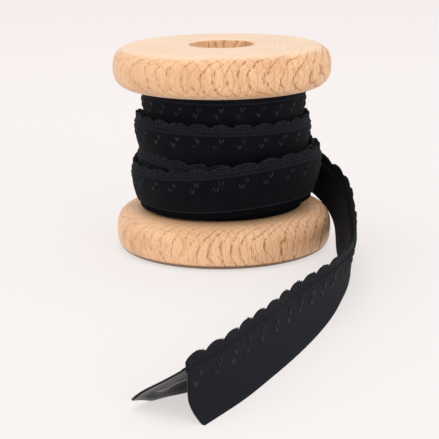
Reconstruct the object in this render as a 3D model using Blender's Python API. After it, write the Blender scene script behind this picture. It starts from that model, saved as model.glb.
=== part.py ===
"""A roll of folded elastic binding with a scalloped edge, wound on a turned wooden spool.

The sizes below are millimetres, measured from the spool's axis with the ground at zero, and the
meshes are made in metres.  Angles run clockwise from the front, seen from above, so that the right
hand side is at 90 degrees.  The spool is two bored discs on a tube.  The winding is one ring whose
outer side steps from lap to lap.  The loose end leaves the roll behind, on the right, bends round
and stands on the ground in front as a folded sheet that opens at its cut end.
"""
import math
from collections import namedtuple

import bmesh
import bpy
import numpy as np

MM = 0.001
GAP = 0.3

# The spool
DISC_RADIUS = 28.0
DISC_THICK = 10.7
SPOOL_HEIGHT = 52.6
BORE_RADIUS = 8.3
BARREL_RADIUS = 13.0
NOSE_REACH = 5.3
NOSE_ROUNDNESS = 2.4
NOSE_STEPS = 10
DISC_SIDES = 56
BARREL_SIDES = 48

# The binding, folded
FRONT_HALF = 9.5
LACE = 2.7
FOLDED_WIDTH = FRONT_HALF + LACE
SCALLOP_DEPTH = 1.0
LAYER = 1.0
LAYER_GAP = 0.3
STACK = 2 * LAYER + LAYER_GAP

# The winding
SCALLOPS_ROUND = 25
STEPS_PER_SCALLOP = 3
SEAM = 150.0
TURN = 360.0
WINDING_FOOT_RADIUS = 20.6
BACK_HALF_DROP = 1.8
BACK_HALF_INSET = 0.9

# How the scalloped edge of the last four laps runs round the roll: the turn since the seam in
# degrees, the edge's height, and the radius of the lap where it bulges most
Lap = namedtuple("Lap", "turn edge radius")
LAPS = [
    Lap(0, 43.0, 21.4), Lap(60, 43.0, 21.4), Lap(150, 43.0, 21.0), Lap(240, 43.0, 20.7),
    Lap(300, 39.6, 21.4), Lap(360, 35.4, 22.4), Lap(450, 35.4, 22.7), Lap(510, 35.6, 22.5),
    Lap(565, 36.0, 22.6), Lap(600, 35.9, 22.7), Lap(660, 32.6, 23.0),
    Lap(720, 28.6, 23.6), Lap(780, 28.0, 23.8), Lap(830, 26.2, 23.3), Lap(884, 25.8, 22.7),
    Lap(910, 26.8, 22.3), Lap(935, 27.6, 22.0), Lap(960, 27.7, 22.1), Lap(1020, 27.5, 23.2),
    Lap(1080, 27.0, 24.4), Lap(1140, 27.1, 25.4), Lap(1178, 27.7, 25.4), Lap(1193, 27.5, 25.2),
    Lap(1219, 26.3, 24.8), Lap(1243, 24.9, 24.5), Lap(1266, 23.9, 24.1), Lap(1287, 23.5, 23.8),
    Lap(1320, 23.4, 23.8), Lap(1380, 23.9, 24.3), Lap(1440, 24.8, 24.9),
]

# The shape of a lap's face: how far below its edge, and how far it draws in from the bulge
Face = namedtuple("Face", "below draw_in")
LAP_FACE = [Face(0.0, 0.9), Face(2.6, 0.0), Face(6.4, 0.1), Face(9.0, 0.7), Face(12.0, 1.7),
            Face(30.0, 2.4)]
FACE_STEPS = (0.0, 0.3, 0.65, 1.0)

# The lower edge of the outermost lap, by the turn since the seam
Foot = namedtuple("Foot", "turn height")
LAP_FOOT = [Foot(0, 13.6), Foot(80, 15.0), Foot(122, 14.6), Foot(164, 13.4), Foot(187, 13.1),
            Foot(240, 13.2), Foot(300, 13.4), Foot(360, 13.6)]

# Where the loose end's front edge runs, how the strip leans towards the spool's side in degrees,
# and how far its lower edge flares out.  The first rows lie round the roll.
Route = namedtuple("Route", "x y z lean flare")
LOOSE_END = [
    Route(9.3, 25.7, 12.3, 0, 0.0), Route(15.8, 22.6, 11.9, 0, 0.0), Route(20.8, 19.7, 11.3, 0, 0.0),
    Route(25.0, 16.2, 10.3, 1, 0.0), Route(28.3, 11.6, 8.2, 0, 0.0), Route(30.3, 5.8, 6.3, -5, 0.0),
    Route(31.1, -0.4, 4.6, -9, 0.0), Route(31.0, -6.6, 3.2, -12, 0.0), Route(30.7, -13.0, 1.5, -13, 0.0),
    Route(30.7, -20.0, 0.5, -13, 0.1), Route(30.9, -27.5, 0.0, -9, 0.2), Route(30.0, -35.4, 0.0, -10, 0.4),
    Route(28.5, -43.9, 0.0, -11, 0.6), Route(26.5, -52.5, 0.0, -9, 0.9), Route(24.3, -61.3, 0.0, -5, 1.2),
    Route(21.4, -70.6, 0.0, 2, 1.6), Route(17.8, -80.4, 0.0, 8, 1.9), Route(13.6, -90.5, 0.0, 7, 2.2),
    Route(8.8, -100.9, 0.0, 5, 2.6), Route(3.4, -111.9, 0.0, 2, 2.9), Route(-3.8, -124.0, 0.0, 0, 3.3),
]
FLARE_HEIGHT = 5.0
END_SCALLOPS = 25

# The back half of the loose end, by the distance from the cut: how far its foot stands behind the
# front edge, how high it is, and how far the cloth bows out above it.  The steps run down the
# cloth, and the bow sinks towards the foot, where the cloth keeps a crease.
Back = namedtuple("Back", "from_cut foot height bow")
BACK_HALF = [
    Back(0, 16.0, 1.4, 0.0), Back(3, 16.0, 0.6, 0.0), Back(6, 15.0, 0.0, 0.3), Back(9, 13.7, 0.0, 1.0),
    Back(12, 11.8, 0.0, 1.7), Back(16, 10.0, 0.0, 2.0), Back(24, 7.8, 0.0, 2.0), Back(35, 6.0, 0.0, 2.0),
    Back(60, 4.4, 0.0, 1.8), Back(85, 3.4, 0.0, 1.2), Back(105, 2.5, 0.0, 0.4),
    Back(125, STACK, 0.0, 0.0), Back(175, STACK, 0.0, 0.0),
]
BACK_STEPS = (0.0, 0.4, 0.78, 1.0)
BOW_SINK = 2.4


def smooth(rows, at):
    """The row at a place between the rows, by a smooth curve through them all."""
    table = np.array(rows, dtype=float)
    keys = table[:, 0]
    at = min(max(at, keys[0]), keys[-1])
    low = min(int(np.searchsorted(keys, at, side="right")) - 1, len(keys) - 2)
    span = keys[low + 1] - keys[low]
    part = (at - keys[low]) / span
    before, after = max(low - 1, 0), min(low + 2, len(keys) - 1)
    slope_in = (table[low + 1] - table[before]) / (keys[low + 1] - keys[before]) * span
    slope_out = (table[after] - table[low]) / (keys[after] - keys[low]) * span
    return ((2 * part ** 3 - 3 * part ** 2 + 1) * table[low] + (part ** 3 - 2 * part ** 2 + part) * slope_in
            + (3 * part ** 2 - 2 * part ** 3) * table[low + 1] + (part ** 3 - part ** 2) * slope_out)


def scallop(repeats):
    """The height of the scalloped edge, nought to one, after so many repeats."""
    return abs(math.sin(math.pi * repeats)) ** 0.7


def around(radius, azimuth, height):
    """A point at a radius and an angle from the front."""
    angle = math.radians(azimuth)
    return (radius * math.sin(angle), -radius * math.cos(angle), height)


def skin(name, loops, ring, material, targets=None):
    """One closed solid over a row of loops; a ring meets its first loop again, point for target."""
    mesh = bmesh.new()
    count = len(loops[0])
    rows = [[mesh.verts.new([value * MM for value in point]) for point in loop] for loop in loops]
    pairs = list(zip(rows, rows[1:]))
    if ring:
        order = targets or range(count)
        pairs.append((rows[-1], [rows[0][k] for k in order]))
    for near, far in pairs:
        for k in range(count):
            corners = (near[k], near[(k + 1) % count], far[(k + 1) % count], far[k])
            kept = [c for j, c in enumerate(corners) if c not in corners[:j]]
            if len(kept) > 2:
                mesh.faces.new(kept)
    if not ring:
        mesh.faces.new(rows[0])
        mesh.faces.new(rows[-1])
    bmesh.ops.remove_doubles(mesh, verts=mesh.verts, dist=0.01 * MM)
    bmesh.ops.dissolve_degenerate(mesh, edges=mesh.edges, dist=0.01 * MM)
    bmesh.ops.triangulate(mesh, faces=mesh.faces)
    bmesh.ops.recalc_face_normals(mesh, faces=mesh.faces)
    data = bpy.data.meshes.new(name)
    mesh.to_mesh(data)
    mesh.free()
    data.materials.append(material)
    data.shade_smooth()
    data.set_sharp_from_angle(angle=math.radians(35))
    item = bpy.data.objects.new(name, data)
    bpy.context.collection.objects.link(item)
    return item


def turned(name, profile, sides, material):
    """A ring turned from a closed outline of radius and height."""
    loops = [[around(radius, TURN * k / sides, height) for radius, height in profile] for k in range(sides)]
    return skin(name, loops, True, material)


def disc_profile(bottom):
    """A bored disc with a full, rounded rim."""
    half = DISC_THICK / 2
    middle = bottom + half
    flat_radius = DISC_RADIUS - NOSE_REACH
    rim = []
    for k in range(NOSE_STEPS + 1):
        angle = math.pi * (0.5 - k / NOSE_STEPS)
        across = max(math.cos(angle), 0.0) ** (2 / NOSE_ROUNDNESS)
        up = math.copysign(abs(math.sin(angle)) ** (2 / NOSE_ROUNDNESS), math.sin(angle))
        rim.append((flat_radius + NOSE_REACH * across, middle + half * up))
    return rim + [(BORE_RADIUS, bottom), (BORE_RADIUS, bottom + DISC_THICK)]


def build_spool(wood):
    """Two bored discs and the tube between them."""
    top = SPOOL_HEIGHT - DISC_THICK
    turned("spool_bottom_disc", disc_profile(0.0), DISC_SIDES, wood)
    turned("spool_top_disc", disc_profile(top), DISC_SIDES, wood)
    low, high = DISC_THICK + GAP, top - GAP
    tube = [(BARREL_RADIUS, high), (BARREL_RADIUS, low), (BORE_RADIUS, low), (BORE_RADIUS, high)]
    turned("spool_barrel", tube, BARREL_SIDES, wood)


def lap_radius(turn, height):
    """How far out the face of a lap lies at a height."""
    lap = Lap(*smooth(LAPS, turn))
    below = max(lap.edge - height, 0.0)
    return lap.radius - Face(*smooth(LAP_FACE, below)).draw_in


def winding_section(turn):
    """The outline of the roll at one place: five laps from the top down, then its foot and core."""
    low, high = DISC_THICK + GAP, SPOOL_HEIGHT - DISC_THICK - GAP
    foot = Foot(*smooth(LAP_FOOT, turn)).height
    wave = SCALLOP_DEPTH * scallop(SCALLOPS_ROUND * turn / TURN)
    edges = [high]
    for lap in range(4):
        edge = Lap(*smooth(LAPS, turn + TURN * lap)).edge
        edges.append(min(edge - SCALLOP_DEPTH + wave, high))
    edges.append(foot)
    outline = []
    for slot in range(5):
        above, below = edges[slot], edges[slot + 1]
        heights = [above - (above - below) * share for share in FACE_STEPS]
        lap_turn = max(turn + TURN * (slot - 1), 0.0)
        face = [lap_radius(lap_turn, height) for height in heights]
        if slot:
            outline.append((outline[-1][0], above))
        else:
            face = [min(radius, lap_radius(turn, above)) for radius in face]
        if slot and above < high:
            under = lap_radius(max(lap_turn - TURN, 0.0), above)
            face = [max(radius, under + 0.1) for radius in face]
        outline += list(zip(face, heights))
    inset = outline[-1][0] - BACK_HALF_INSET
    drop = foot - BACK_HALF_DROP
    outline += [(inset, foot), (inset - 0.5, drop), (WINDING_FOOT_RADIUS, drop)]
    outline += [(WINDING_FOOT_RADIUS, low), (BARREL_RADIUS + GAP, low), (BARREL_RADIUS + GAP, high)]
    return outline


def build_winding(cloth):
    """The roll: a ring whose laps run down and outwards, each lap meeting the next at the seam."""
    steps = SCALLOPS_ROUND * STEPS_PER_SCALLOP
    turns = [TURN * k / steps for k in range(steps)]
    outlines = [winding_section(turn) for turn in turns]
    loops = [[around(radius, SEAM - turn, height) for radius, height in outline]
             for turn, outline in zip(turns, outlines)]
    # At the seam each lap becomes the next one out, and the outermost has left as the loose end
    lap_points, first = 5, 4
    count = len(loops[0])
    core = first + 4 * lap_points
    targets = []
    for k in range(count):
        if k >= core:
            targets.append(k)
        elif k < first:
            targets.append(k + lap_points)
        else:
            targets.append(min(k + lap_points, core - 1))
    return skin("wound_binding", loops, True, cloth, targets)


def strip_front(height, lean, flare):
    """How far behind its lower edge the front half lies, at a height measured up the cloth."""
    curl = flare * (1 - max(1 - height / FLARE_HEIGHT, 0.0) ** 2)
    return curl + height * math.sin(math.radians(lean))


def strip_section(row, back, repeats):
    """The folded strip's outline, as distance behind the lower edge and height: up the front over
    the scalloped edge, down the back half, and back up between the two halves."""
    tall = FOLDED_WIDTH - SCALLOP_DEPTH + SCALLOP_DEPTH * scallop(repeats)
    upright = math.cos(math.radians(row.lean))

    def front(height, behind=0.0):
        return (strip_front(height, row.lean, row.flare) + behind, height * upright)

    outer = [front(h) for h in (0.0, 1.2, 2.9, FLARE_HEIGHT, FRONT_HALF, tall)]
    outer += [front(tall, LAYER), front(FRONT_HALF + 0.8, LAYER)]
    fold = np.array(front(FRONT_HALF, STACK))
    foot = np.array([max(back.foot, outer[0][0] + STACK), back.height])
    line = foot - fold
    normal = np.array([-line[1], line[0]]) / np.linalg.norm(line)
    bows = [math.sin(math.pi * t ** BOW_SINK) * back.bow for t in BACK_STEPS]
    outside = [fold + line * t + normal * bow for t, bow in zip(BACK_STEPS, bows)]
    inside = [point - normal * LAYER for point in outside]
    inside[0] = np.array(front(FRONT_HALF - 0.9, LAYER + LAYER_GAP / 2))
    back_face = [tuple(point) for point in outside] + [tuple(point) for point in reversed(inside)]
    return outer + back_face + [front(h, LAYER) for h in (FLARE_HEIGHT, 2.9, 1.2, 0.0)]


def build_loose_end(cloth):
    """The loose end, swept along its route."""
    route = np.array(LOOSE_END, dtype=float)
    chords = np.linalg.norm(np.diff(route[:, :3], axis=0), axis=1)
    keyed = np.column_stack([np.concatenate([[0.0], np.cumsum(chords)]), route])
    length = keyed[-1, 0]
    steps = END_SCALLOPS * STEPS_PER_SCALLOP
    loops = []
    for k in range(steps + 1):
        at = length * k / steps
        row = Route(*smooth(keyed, at)[1:])
        ahead, behind = smooth(keyed, at + 0.5), smooth(keyed, at - 0.5)
        along = (ahead - behind)[1:3]
        along /= np.linalg.norm(along)
        inward = np.array([along[1], -along[0]])
        back = Back(*smooth(BACK_HALF, length - at))
        section = strip_section(row, back, k / STEPS_PER_SCALLOP)
        loops.append([(row.x + inward[0] * p, row.y + inward[1] * p, max(row.z + h, 0.0)) for p, h in section])
    return skin("loose_end", loops, False, cloth)


def finish(name, colour, roughness):
    """A plain surface of one colour."""
    material = bpy.data.materials.new(name)
    material.use_nodes = True
    shader = material.node_tree.nodes["Principled BSDF"]
    shader.inputs["Base Color"].default_value = (*colour, 1.0)
    shader.inputs["Roughness"].default_value = roughness
    shader.inputs["Metallic"].default_value = 0.0
    return material


def centre_on_ground():
    """Stands the whole part on the ground with its middle at the origin."""
    items = [item for item in bpy.data.objects if item.type == "MESH"]
    points = np.array([tuple(vert.co) for item in items for vert in item.data.vertices])
    middle = (points.min(axis=0) + points.max(axis=0)) / 2
    stand = bpy.data.objects.new("binding_roll", None)
    bpy.context.collection.objects.link(stand)
    stand.location = (-middle[0], -middle[1], 0.0)
    for item in items:
        item.parent = stand


def main():
    for item in list(bpy.data.objects):
        bpy.data.objects.remove(item, do_unlink=True)
    wood = finish("pale beech", (0.80, 0.60, 0.42), 0.55)
    cloth = finish("black jersey", (0.012, 0.014, 0.018), 0.9)
    build_spool(wood)
    build_winding(cloth)
    build_loose_end(cloth)
    centre_on_ground()


main()
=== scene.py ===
# %% [markdown]
# # A roll of folded elastic binding on a wooden spool
# The part is a turned beech spool, wound with black elastic binding whose folded edge carries a
# narrow scalloped lace.  The solid model already stands in the frame.  This lesson dresses it: it
# turns the spool, winds the last four laps of cloth, lays out the loose end, and adds the small
# raised leaves and edge stitches.  Lengths are millimetres until a mesh is written, and are
# measured from the spool's axis.

# %% Tools and the frame
import math
from collections import namedtuple

import bmesh
import bpy
import numpy as np
from mathutils import Matrix, Vector


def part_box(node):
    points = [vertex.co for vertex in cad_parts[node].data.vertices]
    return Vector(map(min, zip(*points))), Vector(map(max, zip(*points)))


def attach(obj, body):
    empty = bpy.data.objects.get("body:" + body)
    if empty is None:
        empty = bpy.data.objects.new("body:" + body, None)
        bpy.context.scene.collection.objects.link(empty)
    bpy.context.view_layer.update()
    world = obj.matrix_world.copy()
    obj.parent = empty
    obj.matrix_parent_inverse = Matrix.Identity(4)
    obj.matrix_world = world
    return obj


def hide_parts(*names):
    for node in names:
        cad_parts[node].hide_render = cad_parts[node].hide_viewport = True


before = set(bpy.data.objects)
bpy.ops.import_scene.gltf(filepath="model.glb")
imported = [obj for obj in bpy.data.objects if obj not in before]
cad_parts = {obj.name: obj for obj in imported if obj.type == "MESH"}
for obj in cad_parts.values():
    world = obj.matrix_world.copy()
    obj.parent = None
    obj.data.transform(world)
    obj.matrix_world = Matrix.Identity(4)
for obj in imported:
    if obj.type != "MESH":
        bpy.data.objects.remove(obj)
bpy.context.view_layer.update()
MM = 0.001
disc_low, disc_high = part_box("spool_bottom_disc")
AXIS = (disc_low + disc_high) / 2
AXIS.z = 0.0
DISC_RADIUS = (disc_high.x - disc_low.x) / 2 / MM
DISC_THICK = disc_high.z / MM
SPOOL_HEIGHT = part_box("spool_top_disc")[1].z / MM
print(f"disc radius {DISC_RADIUS:.1f}, thickness {DISC_THICK:.1f}, spool height {SPOOL_HEIGHT:.1f} mm")

# %% [markdown]
# ## The camera
# The photograph was taken from a little above the table with a long lens.  The two round faces of
# the spool fix the view: their flattened ellipses give the height of the eye, and the way the
# lower one looks fuller than the upper one gives its distance.  So the camera stands at a real
# distance in front of the spool, aims at its middle, and is then turned by three small angles.

# %% Camera
EYE_DISTANCE = 357.2
EYE_ELEVATION = math.radians(11.09)
LENS = 112.35
TURN_RIGHT, TURN_UP, TILT = -0.0032, -0.0544, -0.0129


def turned_pair(first, second, angle):
    """Two directions at right angles, turned in their own plane."""
    return (math.cos(angle) * first + math.sin(angle) * second,
            math.cos(angle) * second - math.sin(angle) * first)


def aim_camera():
    """The camera at the photograph's angle."""
    forward = Vector((0.0, math.cos(EYE_ELEVATION), -math.sin(EYE_ELEVATION)))
    right = Vector((1.0, 0.0, 0.0))
    up = right.cross(forward)
    middle = AXIS + Vector((0.0, 0.0, SPOOL_HEIGHT / 2 * MM))
    eye = middle - forward * EYE_DISTANCE * MM
    forward, right = turned_pair(forward, right, TURN_RIGHT)
    forward, up = turned_pair(forward, up, TURN_UP)
    right, up = turned_pair(right, up, TILT)
    data = bpy.data.cameras.new("camera")
    data.lens = LENS
    camera = bpy.data.objects.new("camera", data)
    bpy.context.collection.objects.link(camera)
    turn = Matrix((right, up, -forward)).transposed().to_4x4()
    camera.matrix_world = Matrix.Translation(eye) @ turn
    bpy.context.scene.camera = camera


aim_camera()

# %% [markdown]
# ## Making meshes
# A few helpers serve every piece.  One writes points and faces to an object that sits at the
# origin, with its place in its mesh.  Another adds a map of the cloth, so that a pattern can
# follow the strip: one unit of the map is one centimetre of cloth.

# %% Helpers for meshes
MAP_UNIT = 10.0


def place(points):
    """Points round the spool's axis, in millimetres, as points of the frame in metres."""
    return [(AXIS.x + x * MM, AXIS.y + y * MM, z * MM) for x, y, z in points]


def new_object(name, data):
    """An object of this data, linked to the scene."""
    made = bpy.data.objects.new(name, data)
    bpy.context.collection.objects.link(made)
    return made


def new_piece(name, points, faces, material):
    """A smooth mesh object at the origin."""
    mesh = bpy.data.meshes.new(name)
    mesh.from_pydata(place(points), [], faces)
    mesh.materials.append(material)
    mesh.shade_smooth()
    return new_object(name, mesh)


def map_cloth(piece, places):
    """Writes where each point lies on the flat strip to the piece's map."""
    layer = piece.data.uv_layers.new(name="cloth")
    for loop in piece.data.loops:
        along, across = places[loop.vertex_index]
        layer.data[loop.index].uv = (along / MAP_UNIT, across / MAP_UNIT)


# %% [markdown]
# ## Small node helpers
# A material is a graph of nodes.  These helpers add a node, set its sockets by name, and join it
# to the nodes it reads, so that each recipe below stays short enough to read.

# %% Helpers for nodes


def node(tree, kind, settings=None, **sockets):
    """Adds a node; a socket is given a value, or another node's output to read."""
    made = tree.nodes.new(kind)
    for key, value in (settings or {}).items():
        setattr(made, key, value)
    for key, value in sockets.items():
        numbered = key[0] == "i" and key[1:].isdigit()
        slot = made.inputs[int(key[1:]) if numbered else key.replace("_", " ")]
        if isinstance(value, bpy.types.NodeSocket):
            tree.links.new(value, slot)
        else:
            slot.default_value = value
    return made


def maths(tree, operation, first, second=0.0):
    """One step of arithmetic."""
    return node(tree, "ShaderNodeMath", {"operation": operation}, i0=first, i1=second).outputs[0]


def times(tree, first, second):
    """The product of two values."""
    return maths(tree, "MULTIPLY", first, second)


def plus(tree, first, second):
    """The sum of two values."""
    return maths(tree, "ADD", first, second)


def minus(tree, first, second):
    """The difference of two values."""
    return maths(tree, "SUBTRACT", first, second)


def vector_maths(tree, operation, **sockets):
    """One step of arithmetic on places or directions."""
    return node(tree, "ShaderNodeVectorMath", {"operation": operation}, **sockets).outputs


def noise(tree, where, **sockets):
    """A cloudy value that changes with the place."""
    return node(tree, "ShaderNodeTexNoise", None, Vector=where, **sockets).outputs["Fac"]


def stretched(tree, where, scale):
    """The place, stretched along each axis."""
    return node(tree, "ShaderNodeMapping", None, Vector=where, Scale=scale).outputs[0]


def between(tree, value, low, high):
    """Nought below low, one above high, and a smooth rise between."""
    settings = {"interpolation_type": "SMOOTHSTEP"}
    return node(tree, "ShaderNodeMapRange", settings, i0=value, i1=low, i2=high).outputs[0]


def mixed(tree, share, first, second):
    """A blend of two colours."""
    return node(tree, "ShaderNodeMix", {"data_type": "RGBA"}, i0=share, i6=first, i7=second).outputs[2]


def new_material(name, roughness):
    """A material with its shader and tree."""
    material = bpy.data.materials.new(name)
    material.use_nodes = True
    tree = material.node_tree
    shader = tree.nodes["Principled BSDF"]
    shader.inputs["Roughness"].default_value = roughness
    return material, tree, shader


# %% [markdown]
# ## Beech
# On the turned rim the wood shows two sets of curved lines that cross like fish scales.  Growth
# rings make one set, and the rays that run across them make the other, fainter one.  Both are
# upright sheets in the block, so where the rounded rim draws back from them they bend into arcs,
# and where the rim faces them they close into nested ovals.  A picture wrapped round the rim would
# have to be drawn with all of that in it.  A solid pattern, worked out in space and not on the
# surface, gives it at once.  Noise makes the lines sway and break up, as pores do, and adds short
# flecks.  The grain lines are stronger towards the right, and faint on the flat faces.  The top
# disc's flat faces are painted paler, as painted sheen from the light above.  The lower disc has a
# thin line of painted contact shadow where it meets the table.

# %% Beech
RING_HEART = (-13.5, -4.5)
RING_PITCH = 1.5
STREAK_PITCH = RING_PITCH / 3.1
RAY_FACING = math.radians(-43.0)
RAY_PITCH = 1.75
LINES_STRONGER_RIGHTWARD = (-24.0, 14.0)
# The heights of the painted contact shadow at the lower disc's foot.
CONTACT_SHADOW_HEIGHTS = (1.0, 1.6)
BEECH_LIGHT = (0.88, 0.565, 0.33, 1.0)
# A paler colour for the top disc's flat faces: painted sheen from the light above.
BEECH_FACE_SHEEN = (0.89, 0.68, 0.49, 1.0)
BEECH_WARM = (0.74, 0.42, 0.235, 1.0)
BEECH_LINE = (0.44, 0.185, 0.075, 1.0)
# The colour of that painted contact shadow.
BEECH_CONTACT_SHADOW = (0.10, 0.045, 0.025, 1.0)


def grain_line(tree, depth, pitch, soft):
    """A dark line at each step of the depth: sharp on one side, fading on the other."""
    step = maths(tree, "FRACT", maths(tree, "DIVIDE", depth, pitch))
    fading = minus(tree, 1.0, between(tree, step, 0.0, soft))
    return maths(tree, "MAXIMUM", fading, between(tree, step, 0.84, 1.0))


def grain_sheets(tree, block, moved, shift):
    """The rings, the rays and the finer streaks between the rings, as upright sheets that sway."""
    wander = noise(tree, moved, Scale=0.10, Detail=2.0, Roughness=0.45)
    ripple = noise(tree, moved, Scale=0.5, Detail=1.0)
    sway = plus(tree, times(tree, minus(tree, wander, 0.5), 4.2), times(tree, minus(tree, ripple, 0.5), 0.9))
    level = vector_maths(tree, "MULTIPLY", i0=block, i1=(1.0, 1.0, 0.0))[0]
    heart = (RING_HEART[0] + shift[0] * 0.1, RING_HEART[1] + shift[1] * 0.1, 0.0)
    from_heart = vector_maths(tree, "DISTANCE", i0=level, i1=heart)["Value"]
    ray_normal = (math.sin(RAY_FACING), -math.cos(RAY_FACING), 0.0)
    along_rays = vector_maths(tree, "DOT_PRODUCT", i0=block, i1=ray_normal)["Value"]
    ring_depth = plus(tree, from_heart, sway)
    ray_depth = minus(tree, along_rays, sway)
    rings = grain_line(tree, plus(tree, ring_depth, 40.0 + shift[2]), RING_PITCH, 0.27)
    rays = grain_line(tree, plus(tree, ray_depth, 90.0 + shift[2]), RAY_PITCH, 0.22)
    streaks = grain_line(tree, plus(tree, ring_depth, 40.0), STREAK_PITCH, 0.4)
    return rings, rays, streaks


def beech(name, shift, face, faint):
    """Beech: the block's shift, the colour of its flat faces, and how faint the grain is there."""
    material, tree, shader = new_material(name, 0.42)
    in_space = node(tree, "ShaderNodeTexCoord").outputs["Object"]
    centred = vector_maths(tree, "SUBTRACT", i0=in_space, i1=tuple(AXIS))[0]
    block = vector_maths(tree, "SCALE", i0=centred, Scale=1000.0)[0]
    moved = vector_maths(tree, "ADD", i0=block, i1=shift)[0]
    rings, rays, streaks = grain_sheets(tree, block, moved, shift)
    fibre = noise(tree, stretched(tree, moved, (1.7, 1.7, 0.22)), Scale=1.0, Detail=2.0, Roughness=0.6)
    pores = noise(tree, stretched(tree, moved, (2.6, 2.6, 0.5)), Scale=1.0, Detail=0.0)
    flecks = noise(tree, stretched(tree, moved, (2.4, 2.4, 0.75)), Scale=1.0, Detail=1.0)
    normal = node(tree, "ShaderNodeNewGeometry").outputs["Normal"]
    tilt = node(tree, "ShaderNodeSeparateXYZ", None, Vector=normal).outputs["Z"]
    flat = between(tree, maths(tree, "ABSOLUTE", tilt), 0.70, 0.98)
    on_rim = minus(tree, 1.0, times(tree, flat, faint))
    broken = plus(tree, times(tree, between(tree, pores, 0.36, 0.68), 0.80), 0.12)
    ring_shade = times(tree, rings, broken)
    ray_shade = times(tree, rays, 0.25)
    streak_shade = times(tree, times(tree, streaks, fibre), 0.36)
    fleck_shade = times(tree, between(tree, flecks, 0.60, 0.70), 0.34)
    shade = maths(tree, "MAXIMUM", ring_shade, plus(tree, ray_shade, streak_shade))
    shade = times(tree, maths(tree, "MAXIMUM", shade, fleck_shade), on_rim)
    parts = node(tree, "ShaderNodeSeparateXYZ", None, Vector=block).outputs
    # The grain lines grow stronger from left to right.
    shade = times(tree, shade, plus(tree, times(tree, between(tree, parts["X"], *LINES_STRONGER_RIGHTWARD), 0.55), 0.80))
    # Painted contact shadow: the wood turns dark in a thin line just above the table.
    foot = minus(tree, 1.0, between(tree, parts["Z"], *CONTACT_SHADOW_HEIGHTS))
    tone = between(tree, noise(tree, moved, Scale=0.12, Detail=2.0), 0.42, 0.66)
    warm = times(tree, plus(tree, tone, times(tree, fibre, 0.5)), on_rim)
    plain = mixed(tree, flat, BEECH_LIGHT, face)
    ground = mixed(tree, times(tree, warm, 0.55), plain, BEECH_WARM)
    grained = mixed(tree, shade, ground, BEECH_LINE)
    colour = mixed(tree, times(tree, foot, 0.85), grained, BEECH_CONTACT_SHADOW)
    tree.links.new(colour, shader.inputs["Base Color"])
    height = minus(tree, 1.0, shade)
    bump = node(tree, "ShaderNodeBump", None, Strength=0.35, Distance=0.0002, Height=height)
    tree.links.new(bump.outputs["Normal"], shader.inputs["Normal"])
    shader.inputs["Specular IOR Level"].default_value = 0.28
    return material


# The top disc's flat faces take the paler colour of painted sheen; the lower disc's keep the plain wood
# colour.
top_beech = beech("pale beech, top disc", (3.0, 11.0, 2.0), BEECH_FACE_SHEEN, 0.74)
bottom_beech = beech("pale beech, bottom disc", (-19.0, 4.0, 31.0), BEECH_LIGHT, 0.30)

# %% [markdown]
# ## Black knit
# The cloth is a fine matte jersey.  Its map says where each point lies on the strip, so the graph
# can put every zone in its place: a painted highlight along the cut edge, fine ribs over the knit,
# and an open net between the fold and the scallops.  A pattern in space would not follow the strip
# round the roll.  Two things come and go along the strip, so the same recipe takes them as
# choices: the loose end is painted paler towards the cut, as painted light, and its lining has a
# painted highlight along a crease at the open cut, with a paler stretch under it that is painted
# light lifting the shade there.  The inner side is a plainer material of the same build, and the
# cloth deep in the roll is a plainer, darker one that paints the shade in the roll's gaps.

# %% Cloth
FOLD = 9.5
LACE_WIDTH = 2.7
STRIP_WIDTH = FOLD + LACE_WIDTH
KNIT_BLACK = (0.0016, 0.0018, 0.0033, 1.0)
KNIT_RAISED = (0.0118, 0.0130, 0.0185, 1.0)
# The paler tone of the cloth deep in the roll, kept dark as painted shade.
SHADED_DEEP_BLACK = (0.005, 0.005, 0.0065, 1.0)
LINING_GREY = (0.0145, 0.0165, 0.0125, 1.0)
# A paler grey painted under the crease, which lifts the shade there.
LINING_SHADE_LIFT = (0.046, 0.042, 0.047, 1.0)
# The painted highlight along the crease.
CREASE_HIGHLIGHT = (0.30, 0.29, 0.27, 1.0)
RIB_PITCH, COURSE_PITCH = 0.42, 0.36
Crease = namedtuple("Crease", "length across")


def creased(tree, colour, along, across, crease):
    """The colour with painted light at a crease: a painted highlight line, and a paler stretch below it,
    painted to lift the shade.
    """
    past_cut = between(tree, minus(tree, crease.length, along), 3.5, 6.0)
    # Painted light: the stretch under the crease is lifted out of its shade.
    under = minus(tree, 1.0, between(tree, across, crease.across - 0.1, crease.across + 0.15))
    from_line = maths(tree, "ABSOLUTE", minus(tree, across, crease.across))
    # The painted highlight line along the crease.
    line = times(tree, minus(tree, 1.0, between(tree, from_line, 0.10, 0.26)), past_cut)
    colour = mixed(tree, times(tree, under, past_cut), colour, LINING_SHADE_LIFT)
    return mixed(tree, line, colour, CREASE_HIGHLIGHT)


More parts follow.
